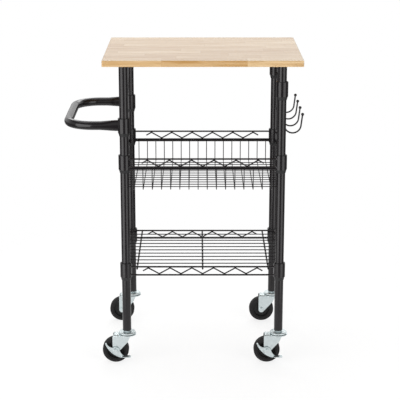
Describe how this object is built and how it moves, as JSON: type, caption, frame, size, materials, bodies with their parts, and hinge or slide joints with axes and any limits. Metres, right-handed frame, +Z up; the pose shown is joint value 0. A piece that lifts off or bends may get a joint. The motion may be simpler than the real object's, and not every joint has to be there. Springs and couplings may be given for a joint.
{
  "type": "kitchen island cart",
  "caption": "Rolling kitchen cart: wooden worktop on tube posts with a wire basket, wire shelf, bent side handle, hook rail and swivel casters with side brakes at the front.",
  "frame": {"origin": "on the floor, under the middle of the cart's overall box", "axes": "+X from the handle towards the hooks, +Y from the braked front towards the rear, +Z up"},
  "size_m": [0.6929, 0.436, 0.914],
  "materials": {
    "top_wood": "satin clear lacquer on edge-glued strips",
    "frame_paint": "charcoal black metallic coat, semi-gloss",
    "sleeve_plastic": "moulded black",
    "zinc_steel": "bright zinc plate",
    "tyre_rubber": "dull black",
    "core_plastic": "moulded black"
  },
  "bodies": {
    "frame": {"wood_top": "top_wood", "top_inserts": "zinc_steel", "post_top_plugs": "zinc_steel", "post_front_left": "frame_paint", "post_front_right": "frame_paint", "post_rear_left": "frame_paint", "post_rear_right": "frame_paint", "post_foot_sockets": "zinc_steel", "handle_tube": "frame_paint", "handle_collars": "frame_paint", "handle_sleeves": "sleeve_plastic", "hook_rail": "frame_paint", "hooks": "frame_paint", "hook_rail_collars": "frame_paint", "hook_rail_sleeves": "sleeve_plastic", "basket_collars": "frame_paint", "basket_sleeves": "sleeve_plastic", "basket_truss_front": "frame_paint", "basket_truss_rear": "frame_paint", "basket_truss_left": "frame_paint", "basket_truss_right": "frame_paint", "basket_floor": "frame_paint", "basket_wall_front": "frame_paint", "basket_wall_rear": "frame_paint", "basket_wall_left": "frame_paint", "basket_wall_right": "frame_paint", "shelf_collars": "frame_paint", "shelf_sleeves": "sleeve_plastic", "shelf_truss_front": "frame_paint", "shelf_truss_rear": "frame_paint", "shelf_truss_left": "frame_paint", "shelf_truss_right": "frame_paint", "shelf_deck": "frame_paint", "caster_stems": "zinc_steel", "caster_caps": "zinc_steel"},
    "caster_front_left": {"fork_front_left": "zinc_steel", "swivel_balls_front_left": "zinc_steel", "axle_front_left": "zinc_steel", "brake_cam_front_left": "zinc_steel"},
    "wheel_front_left": {"wheel_core_front_left": "core_plastic", "tyre_front_left": "tyre_rubber"},
    "brake_front_left": {"brake_lever_front_left": "zinc_steel"},
    "caster_front_right": {"fork_front_right": "zinc_steel", "swivel_balls_front_right": "zinc_steel", "axle_front_right": "zinc_steel", "brake_cam_front_right": "zinc_steel"},
    "wheel_front_right": {"wheel_core_front_right": "core_plastic", "tyre_front_right": "tyre_rubber"},
    "brake_front_right": {"brake_lever_front_right": "zinc_steel"},
    "caster_rear_left": {"fork_rear_left": "zinc_steel", "swivel_balls_rear_left": "zinc_steel", "axle_rear_left": "zinc_steel"},
    "wheel_rear_left": {"wheel_core_rear_left": "core_plastic", "tyre_rear_left": "tyre_rubber"},
    "caster_rear_right": {"fork_rear_right": "zinc_steel", "swivel_balls_rear_right": "zinc_steel", "axle_rear_right": "zinc_steel"},
    "wheel_rear_right": {"wheel_core_rear_right": "core_plastic", "tyre_rear_right": "tyre_rubber"}
  },
  "joints": [
    {"name": "swivel_front_left", "type": "hinge", "parent": "frame", "child": "caster_front_left", "pos_m": [-0.16976, -0.175, 0.0869], "axis": [0, 0, 1], "continuous": true},
    {"name": "roll_front_left", "type": "hinge", "parent": "caster_front_left", "child": "wheel_front_left", "pos_m": [-0.20376, -0.175, 0.039], "axis": [0, 1, 0], "continuous": true},
    {"name": "brake_press_front_left", "type": "hinge", "parent": "caster_front_left", "child": "brake_front_left", "pos_m": [-0.20376, -0.175, 0.039], "axis": [0, 1, 0], "range_deg": [0, 18]},
    {"name": "swivel_front_right", "type": "hinge", "parent": "frame", "child": "caster_front_right", "pos_m": [0.28024, -0.175, 0.0869], "axis": [0, 0, 1], "continuous": true},
    {"name": "roll_front_right", "type": "hinge", "parent": "caster_front_right", "child": "wheel_front_right", "pos_m": [0.24624, -0.175, 0.039], "axis": [0, 1, 0], "continuous": true},
    {"name": "brake_press_front_right", "type": "hinge", "parent": "caster_front_right", "child": "brake_front_right", "pos_m": [0.24624, -0.175, 0.039], "axis": [0, 1, 0], "range_deg": [0, 18]},
    {"name": "swivel_rear_left", "type": "hinge", "parent": "frame", "child": "caster_rear_left", "pos_m": [-0.16976, 0.175, 0.0869], "axis": [0, 0, 1], "continuous": true},
    {"name": "roll_rear_left", "type": "hinge", "parent": "caster_rear_left", "child": "wheel_rear_left", "pos_m": [-0.20376, 0.175, 0.039], "axis": [0, 1, 0], "continuous": true},
    {"name": "swivel_rear_right", "type": "hinge", "parent": "frame", "child": "caster_rear_right", "pos_m": [0.28024, 0.175, 0.0869], "axis": [0, 0, 1], "continuous": true},
    {"name": "roll_rear_right", "type": "hinge", "parent": "caster_rear_right", "child": "wheel_rear_right", "pos_m": [0.24624, 0.175, 0.039], "axis": [0, 1, 0], "continuous": true}
  ]
}
